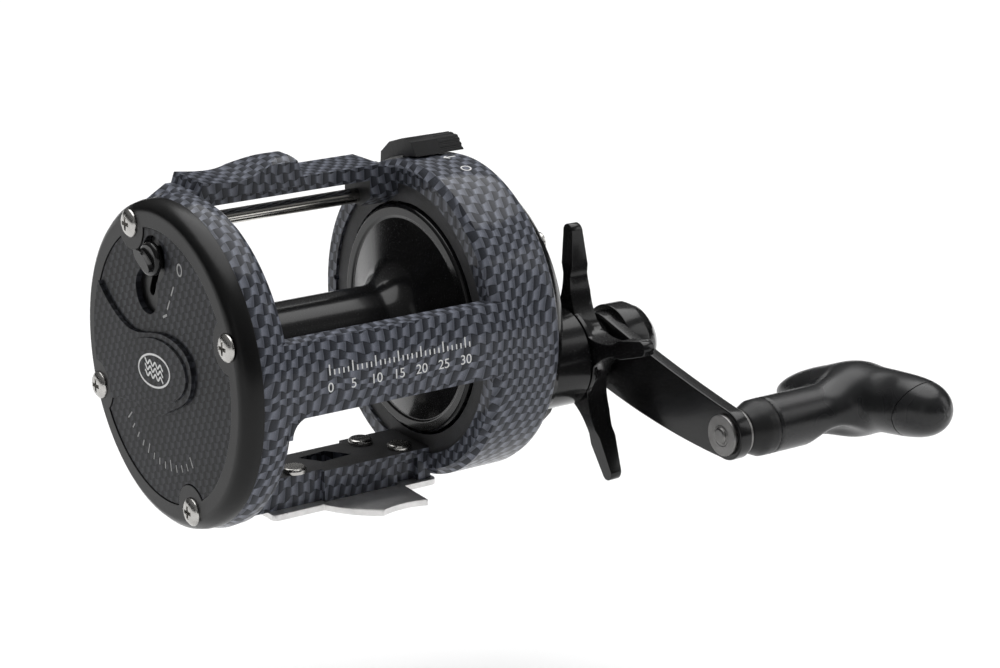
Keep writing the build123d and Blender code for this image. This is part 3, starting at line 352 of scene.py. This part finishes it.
for node, material, edge in (
    ("frame", weave_print, 0.35),
    ("side_plate", weave_print, 0.35),
    ("tail_plate", rim_black, 0.30),
    ("tail_cover", cover_weave, 0.28),
    ("spool", gloss_black, 0.20),
    ("gear_cover", gloss_black, 0.25),
    ("star_wheel", gloss_black, 0.40),
    ("handle_arm", gloss_black, 0.55),
    ("handle_nut", gloss_black, 0.30),
    ("free_spool_lever", satin_black, 0.25),
    ("tension_cap", satin_black, 0.15),
    ("click_button", gloss_black, 0.25),
    ("head_plate", satin_black, 0.20),
    ("foot_plate", plate_steel, 0.18),
    ("foot_rivets", stainless, 0.0),
    ("tail_plate_screws", stainless, 0.06),
    ("gear_cover_screws", stainless, 0.05),
    ("head_plate_screws", stainless, 0.05),
    ("cross_rod", rod_steel, 0.0),
    ("grip_post", dark_steel, 0.12),
    ("grip_washers", dark_steel, 0.12),
    ("grip_collar", satin_black, 0.30),
    ("boss_bush", brass, 0.0),
    ("drag_sleeve", machined, 0.0),
    ("drag_fibre_washers", drag_fibre, 0.0),
    ("drag_keyed_washers", machined, 0.0),
    ("drag_spring_washers", spring_steel, 0.0),
    ("gear_shaft", machined, 0.0),
    ("spool_shaft", machined, 0.0),
    ("main_gear", brass, 0.0),
    ("pinion", brass, 0.0),
    ("anti_reverse_ratchet", machined, 0.0),
    ("anti_reverse_dog", machined, 0.0),
    ("dog_screw", stainless, 0.0),
    ("yoke", machined, 0.0),
    ("yoke_posts", machined, 0.0),
    ("yoke_springs", spring_steel, 0.0),
    ("click_tongue", machined, 0.0),
    ("click_ratchet", brass, 0.0),
    ("click_spring", spring_steel, 0.0),
    ("tail_bearing_outer", machined, 0.0),
    ("tail_bearing_inner", machined, 0.0),
    ("tail_bearing_balls", stainless, 0.0),
    ("head_bearing_outer", machined, 0.0),
    ("head_bearing_inner", machined, 0.0),
    ("head_bearing_balls", stainless, 0.0),
    ("grip_body", soft_rubber, 0.0),
    ("grip_cap_upper", soft_rubber, 0.0),
    ("grip_cap_lower", soft_rubber, 0.0),
):
    finish(node, material, edge)

# bare, unprinted areas of the frame: the top of the foot bar and the sunk ring faces
rivet_head = 1.1 * MM
foot_bar_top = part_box("foot_rivets")[1].z - rivet_head
sunk_radius = 27.6 * MM
frame_piece = nodes["frame"]
frame_piece.data.materials.append(matt_grey)
for face in frame_piece.data.polygons:
    spot = face.center
    from_axis = math.hypot(spot.y - spool_axis.y, spot.z - spool_axis.z)
    on_foot_bar = face.normal.z > 0.9 and abs(spot.z - foot_bar_top) < 0.3 * MM
    on_sunk_ring = abs(face.normal.x) > 0.9 and from_axis < sunk_radius and spot.z > foot_bar_top + 0.2 * MM
    if on_foot_bar or on_sunk_ring:
        face.material_index = 1

# ---------------------------------------------------------------- T-grip
# Worked in millimetres from the middle of the cross bar: x along the spool axis, s along the
# bar towards its upper end, and h square to both.
upper_cap = middle("grip_cap_upper")
lower_cap = middle("grip_cap_lower")
bar_middle = (upper_cap + lower_cap) / 2
bar_way = Vector((0, upper_cap.y - lower_cap.y, upper_cap.z - lower_cap.z)).normalized()
bar_up = Vector((0, -bar_way.z, bar_way.y))
bar_up = bar_up if bar_up.z > 0 else -bar_up
to_world = Matrix((
    (MM, 0, 0, bar_middle.x),
    (0, bar_way.y * MM, bar_up.y * MM, bar_middle.y),
    (0, bar_way.z * MM, bar_up.z * MM, bar_middle.z),
    (0, 0, 0, 1),
))
to_bar = to_world.inverted()
shank = to_bar @ Vector((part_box("grip_collar")[1].x, knob_axis.y, knob_axis.z))
half_bar = 24.2              # half the cross bar's length
middle_tall = 6.5            # half its height and depth at the middle
middle_deep = 6.0
upper_tall = 5.9             # and towards the blunt upper end
upper_deep = 5.7
lower_tall = 2.9             # and towards the flat lower end
lower_deep = 5.2
lower_droop = 2.2            # how far the lower end's centre line sinks
stem_radius = 5.65
stem_blend = 5.5             # how softly the stem runs into the bar
stem_end = 1.0               # where the stem stops inside the bar
collar_gap = 0.05
bore_radius = 2.2
bore_depth = 10.0
scoop_blend = 1.4
middle_cut = 15.25           # the middle piece ends here, and each end cap starts at cap_cut
cap_cut = 15.5
lean_start = 12.0            # the parting lines' lean is spread over the bar up to here


def soft_least(a, b, k):
    """The smaller of two distances, blended over k where they meet."""
    h = max(k - abs(a - b), 0.0) / k
    return min(a, b) - h * h * k / 4


def soft_most(a, b, k):
    """The larger of two distances, blended in the same way."""
    return -soft_least(-a, -b, k)


def oval(x, s, h, centre, size):
    """Rough distance to an ellipsoid."""
    scaled = [(at - middle_at) / half for at, middle_at, half in zip((x, s, h), centre, size)]
    return (math.hypot(*scaled) - 1) * min(size)


# hollows for thumb and fingers: centre and half sizes along x, s and h
scoops = (
    ((-9.0, 10.6, 10.4), (7.6, 6.4, 7.6)),
    ((-9.6, -8.6, 9.6), (7.6, 6.6, 7.4)),
    ((-8.6, 2.5, -10.8), (6.6, 7.0, 6.2)),
    ((9.6, 9.6, 10.4), (7.4, 6.6, 7.4)),
    ((9.6, -8.6, 9.6), (7.4, 6.6, 7.4)),
)


def grip_distance(x, s, h):
    """Signed distance, roughly, to the grip's skin."""
    along = min(abs(s) / half_bar, 0.999)
    upper = s > 0
    tall = middle_tall + ((upper_tall if upper else lower_tall) - middle_tall) * along ** 1.4
    deep = middle_deep + ((upper_deep if upper else lower_deep) - middle_deep) * along ** 1.6
    ending = math.sqrt(1 - along ** 7)
    high = h + (0.0 if upper else lower_droop * along ** 1.4)
    across = math.hypot(x / (deep * ending), high / (tall * ending))
    bar = max((across - 1) * min(deep, tall) * ending, abs(s) - half_bar)
    radius = math.hypot(s - shank.y, h - shank.z)
    stem = soft_most(radius - stem_radius, shank.x + collar_gap - x, 0.5)
    stem = max(stem, x - stem_end)
    body = soft_least(bar, stem, stem_blend)
    for centre, size in scoops:
        body = soft_most(body, -oval(x, s, h, centre, size), scoop_blend)
    bore = max(radius - bore_radius, x - shank.x - bore_depth)
    return max(body, -bore)


def rough_grip():
    """Overlapping rounded solids that the skin is then fitted to."""
    build = bmesh.new()
    bmesh.ops.create_icosphere(build, subdivisions=4, radius=1.0)
    for v in build.verts:
        v.co = Vector((v.co.x * 5.8, v.co.y * (half_bar - 0.3), v.co.z * 6.2))
    inner, outer = 2.25, 5.5
    far = -shank.x - 0.5
    outline = ((0.1, inner), (0.1, outer), (far, outer), (far, 0.0), (bore_depth, 0.0), (bore_depth, inner))
    turns = 40
    rings = []
    for along, radius in outline:
        ring = []
        for k in range(turns if radius else 1):
            angle = 2 * math.pi * k / turns
            ring.append(build.verts.new((
                shank.x + along, shank.y + radius * math.cos(angle), shank.z + radius * math.sin(angle),
            )))
        rings.append(ring)
    for first, second in zip(rings, rings[1:] + rings[:1]):
        for k in range(turns):
            corners = [
                first[k % len(first)], first[(k + 1) % len(first)],
                second[(k + 1) % len(second)], second[k % len(second)],
            ]
            corners = list(dict.fromkeys(corners))
            if len(corners) > 2:
                build.faces.new(corners)
    bmesh.ops.recalc_face_normals(build, faces=build.faces)
    mesh = bpy.data.meshes.new("grip_rough")
    build.to_mesh(mesh)
    build.free()
    holder = bpy.data.objects.new("grip_rough", mesh)
    scene_objects.link(holder)
    remesh = holder.modifiers.new("remesh", "REMESH")
    remesh.mode = "VOXEL"
    remesh.voxel_size = 0.42
    bpy.context.view_layer.update()
    even = bpy.data.meshes.new_from_object(holder.evaluated_get(bpy.context.evaluated_depsgraph_get()))
    bpy.data.objects.remove(holder)
    return even


def fit_to_skin(mesh):
    """Move every vertex along the distance's slope until it lies on the skin."""
    step = 0.02
    for vertex in mesh.vertices:
        for _ in range(5):
            x, s, h = vertex.co
            off = grip_distance(x, s, h)
            slope = Vector((
                grip_distance(x + step, s, h) - off, grip_distance(x, s + step, h) - off,
                grip_distance(x, s, h + step) - off,
            )) / step
            move = slope * (-off / max(slope.length_squared, 0.25))
            if move.length > 1.0:
                move *= 1.0 / move.length
            vertex.co += move
            if abs(off) < 0.004:
                break


def lean(height):
    """How far the end caps' parting lines lean outwards at this height, most on top."""
    return 0.42 * (height + math.sqrt(height ** 2 + 6.0) - math.sqrt(6.0))


def straighten(place):
    """Squeeze the bar lengthwise so that its parting lines become square to it."""
    over = lean(place.z)
    away = abs(place.y)
    away = away - over if away > lean_start else away * (1 - over / lean_start)
    place.y = math.copysign(away, place.y)


def lean_back(place):
    """Undo straighten."""
    over = lean(place.z)
    away = abs(place.y)
    away = away + over if away > lean_start - over else away / (1 - over / lean_start)
    place.y = math.copysign(away, place.y)


def grip_piece(name, skin, cuts):
    """One part of the skin, cut off square to the straightened bar and closed."""
    build = bmesh.new()
    build.from_mesh(skin)
    for v in build.verts:
        straighten(v.co)
    for at, outwards in cuts:
        cut = bmesh.ops.bisect_plane(
            build, geom=build.verts[:] + build.edges[:] + build.faces[:], plane_co=(0, at, 0),
            plane_no=(0, outwards, 0), clear_outer=True, dist=1e-5,
        )
        rim = [e for e in cut["geom_cut"] if isinstance(e, bmesh.types.BMEdge) and e.is_boundary]
        bmesh.ops.triangle_fill(build, use_beauty=True, edges=rim, normal=(0, outwards, 0))
    bmesh.ops.recalc_face_normals(build, faces=build.faces)
    for v in build.verts:
        lean_back(v.co)
    mesh = bpy.data.meshes.new(name)
    build.to_mesh(mesh)
    build.free()
    mesh.transform(to_world)
    mesh.materials.append(soft_rubber)
    mesh.polygons.foreach_set("use_smooth", [True] * len(mesh.polygons))
    piece = bpy.data.objects.new(name, mesh)
    scene_objects.link(piece)
    bevel = piece.modifiers.new("edges", "BEVEL")
    bevel.width = 0.28 * MM
    bevel.segments = 2
    bevel.limit_method = "ANGLE"
    bevel.angle_limit = math.radians(50)
    shading = piece.modifiers.new("shading", "WEIGHTED_NORMAL")
    shading.weight = 60
    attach(piece, "grip")
    return piece


grip_skin = rough_grip()
fit_to_skin(grip_skin)
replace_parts(grip_piece("grip_middle", grip_skin, ((middle_cut, 1), (-middle_cut, -1))), "grip_body")
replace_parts(grip_piece("grip_end_upper", grip_skin, ((cap_cut, -1),)), "grip_cap_upper")
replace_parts(grip_piece("grip_end_lower", grip_skin, ((-cap_cut, 1),)), "grip_cap_lower")


# ---------------------------------------------------------------- markings
class Marks:
    """Flat printed marks, drawn in millimetres and then laid onto a surface as a thin film."""

    def __init__(self):
        self.points = []
        self.faces = []

    def line(self, path, width, closed=False):
        """A stroke of even width along a path."""
        count = len(path)
        start = len(self.points)
        for k, point in enumerate(path):
            before = Vector(path[(k - 1) % count] if closed or k else point)
            after = Vector(path[(k + 1) % count] if closed or k < count - 1 else point)
            way = (after - before).normalized()
            aside = Vector((-way.y, way.x)) * width / 2
            self.points += [Vector(point) + aside, Vector(point) - aside]
        for k in range(count if closed else count - 1):
            a, b = start + 2 * k, start + 2 * ((k + 1) % count)
            self.faces.append((a, a + 1, b + 1, b))

    def oval(self, centre, across, tall, tilt, width):
        """The outline of a tilted ellipse, given by its half sizes."""
        turns = 48
        tilted = Matrix.Rotation(-tilt, 2)
        path = []
        for k in range(turns):
            turn = 2 * math.pi * k / turns
            spot = Vector((across * math.cos(turn), tall * math.sin(turn)))
            path.append(Vector(centre) + spot @ tilted)
        self.line(path, width, closed=True)

    def text(self, words, centre, tall):
        """Plain numerals or letters from the built-in font, centred on a point."""
        curve = bpy.data.curves.new("words", "FONT")
        curve.body = words
        curve.size = tall / 0.72
        curve.align_x = "CENTER"
        curve.align_y = "CENTER"
        holder = bpy.data.objects.new("words", curve)
        scene_objects.link(holder)
        bpy.context.view_layer.update()
        solved = holder.evaluated_get(bpy.context.evaluated_depsgraph_get())
        shape = bpy.data.meshes.new_from_object(solved)
        bpy.data.objects.remove(holder)
        start = len(self.points)
        self.points += [v.co.xy + Vector(centre) for v in shape.vertices]
        self.faces += [tuple(start + k for k in face.vertices) for face in shape.polygons]

    def lay(self, name, node, aim, ink):
        """Drop every point onto a CAD node along the ray that aim gives for it."""
        target = nodes[node]
        inverse = target.matrix_world.inverted()
        landed = []
        for point in self.points:
            origin, way = aim(point)
            hit, place, _, _ = target.ray_cast(inverse @ origin, (inverse.to_3x3() @ way).normalized())
            if not hit:
                raise ValueError(name + ": a mark misses " + node)
            landed.append(target.matrix_world @ place - way * 0.02 * MM)
        mesh = bpy.data.meshes.new(name)
        mesh.from_pydata(landed, [], self.faces)
        mesh.materials.append(ink)
        piece = bpy.data.objects.new(name, mesh)
        scene_objects.link(piece)
        film = piece.modifiers.new("film", "SOLIDIFY")
        film.thickness = 0.03 * MM
        film.offset = 0.0
        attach(piece, "frame")


def onto_tail(point):
    """Seen from the tail side, across is to the right of the spool's axis and up is above it."""
    start = Vector((tail_face - 20 * MM, spool_axis.y - point.x * MM, spool_axis.z + point.y * MM))
    return start, Vector((1, 0, 0))


def onto_rear_bar(point):
    """Across is the distance along the reel from the tail plate, up is above the spool's axis."""
    return Vector((tail_plate_face + point.x * MM, -0.06, spool_axis.z + point.y * MM)), Vector((0, 1, 0))


def onto_side_rim(point):
    """Across is the distance along the reel, up is the way round the rim from the front."""
    turn = point.y / (ring_radius / MM)
    outward = Vector((0, math.cos(turn), math.sin(turn)))
    start = Vector((tail_plate_face + point.x * MM, spool_axis.y, spool_axis.z)) + outward * ring_radius * 1.5
    return start, -outward


rim_degree = math.radians(1) * ring_radius / MM

click_scale = Marks()
click_scale.line([(3.1, 12.1), (4.2, 14.1)], 0.34)
click_scale.line([(4.8, 15.2), (5.9, 17.2)], 0.34)
click_scale.line([(1.3, 10.2), (2.9, 11.0)], 0.45)
click_scale.oval((8.4, 21.0), 0.85, 1.1, 0.0, 0.35)
click_scale.lay("click_scale", "tail_cover", onto_tail, faint_ink)

medallion = Marks()
medallion_across, medallion_up = -1.2, -0.9
medallion.oval((medallion_across, medallion_up), 6.3, 3.2, math.radians(9.8), 0.4)
for rise in (-1.1, 0.1, 1.3):
    wave = []
    for step in range(-18, 19):
        ripple = 0.45 * math.sin(0.62 * step)
        wave.append((medallion_across + 0.2 * step, rise + medallion_up + ripple))
    medallion.line(wave, 0.4)
medallion.lay("medallion", "tail_cover", onto_tail, pale_ink)

tick_arc = Marks()
outer_reach = 20.4
for step in range(13):
    turn = math.radians(-44.0 - 6.6 * step)
    inner_reach = 19.0 if step % 4 else 18.2
    outwards = Vector((-math.cos(turn), math.sin(turn)))
    tick_arc.line([outwards * inner_reach, outwards * outer_reach], 0.3)
tick_arc.lay("tick_arc", "tail_cover", onto_tail, faint_ink)

bar_scale = Marks()
scale_start = 18.0
long_every = 5
for step in range(32):
    across = scale_start + step
    tick_top = 4.6 if step % long_every else 5.6
    bar_scale.line([(across, 3.6), (across, tick_top)], 0.26)
for step in range(7):
    bar_scale.text(str(step * long_every), (scale_start + long_every * step, 1.2), 1.9)
bar_scale.lay("bar_scale", "frame", onto_rear_bar, pale_ink)

lever_marks = Marks()
lever_marks.text("O", (65.0, 103.0 * rim_degree), 2.2)
arrow_at = 91.0 * rim_degree
lever_marks.line([(64.4, arrow_at), (67.0, arrow_at)], 0.5)
lever_marks.line([(65.2, arrow_at - 0.9), (64.4, arrow_at), (65.2, arrow_at + 0.9)], 0.5)
lever_marks.lay("lever_marks", "side_plate", onto_side_rim, pale_ink)

# ---------------------------------------------------------------- stage, light and camera
stage_mesh = bpy.data.meshes.new("floor")
floor_build = bmesh.new()
bmesh.ops.create_grid(floor_build, x_segments=8, y_segments=8, size=3.0)
floor_build.to_mesh(stage_mesh)
floor_build.free()
floor = bpy.data.objects.new("floor", stage_mesh)
floor_drop = 54 * MM
floor.location.z = -floor_drop
scene_objects.link(floor)
floor_recipe = Recipe("floor_paper", Roughness=0.9)
floor_recipe.colour(floor_recipe.ramp(
    floor_recipe.noise(floor_recipe.place(), 0.02, 2.0), (0.3, grey(0.93)), (0.7, grey(0.95))
))
stage_mesh.materials.append(floor_recipe.material)

scene.view_settings.view_transform = "Standard"
world = bpy.data.worlds.new("studio")
scene.world = world
world.use_nodes = True
sky = world.node_tree
back = sky.nodes["Background"]
height = sky.nodes.new("ShaderNodeSeparateXYZ")
fade = sky.nodes.new("ShaderNodeValToRGB")
sky.links.new(sky.nodes.new("ShaderNodeTexCoord").outputs["Generated"], height.inputs[0])
sky.links.new(height.outputs[2], fade.inputs[0])
sky.links.new(fade.outputs[0], back.inputs[0])
stops = fade.color_ramp.elements
stops[0].position = 0.02
stops[0].color = (0.03, 0.03, 0.035, 1)
stops[1].position = 0.9
stops[1].color = (0.9, 0.9, 0.9, 1)
for position, tone in ((0.16, 0.05), (0.32, 0.35)):
    stop = stops.new(position)
    stop.color = (tone, tone, tone, 1)
back.inputs[1].default_value = 0.35


def softbox(name, place, target, width, depth, power):
    """A rectangular area light aimed at a point."""
    lamp = bpy.data.lights.new(name, "AREA")
    lamp.shape = "RECTANGLE"
    lamp.size = width
    lamp.size_y = depth
    lamp.energy = power
    holder = bpy.data.objects.new(name, lamp)
    holder.location = place
    holder.rotation_euler = (Vector(target) - Vector(place)).to_track_quat("-Z", "Y").to_euler()
    scene_objects.link(holder)


heart = (cad_low + cad_high) / 2
sun = bpy.data.lights.new("overhead", "SUN")
sun.energy = 3.0
sun.angle = math.radians(70)
sun_holder = bpy.data.objects.new("overhead", sun)
sun_holder.rotation_euler = (math.radians(-12), math.radians(8), 0)
scene_objects.link(sun_holder)
softbox("left_strip", heart + Vector((-0.75, -0.35, 0.12)), heart, 0.20, 0.7, 0.2)
softbox("right_panel", heart + Vector((0.75, -0.5, 0.35)), heart, 0.4, 0.7, 1.6)

camera = bpy.data.cameras.new("camera")
camera.sensor_width = 36.0
camera.lens = 100.8
camera.clip_start = 0.01
camera_holder = bpy.data.objects.new("camera", camera)
azimuth, elevation = math.radians(-34.762), math.radians(17.165)
backward = Vector((
    math.sin(azimuth) * math.cos(elevation), -math.cos(azimuth) * math.cos(elevation), math.sin(elevation),
))
camera_holder.location = Vector((-0.2737, -0.4516, 0.1959))
camera_holder.rotation_euler = (-backward).to_track_quat("-Z", "Y").to_euler()
scene_objects.link(camera_holder)
scene.camera = camera_holder
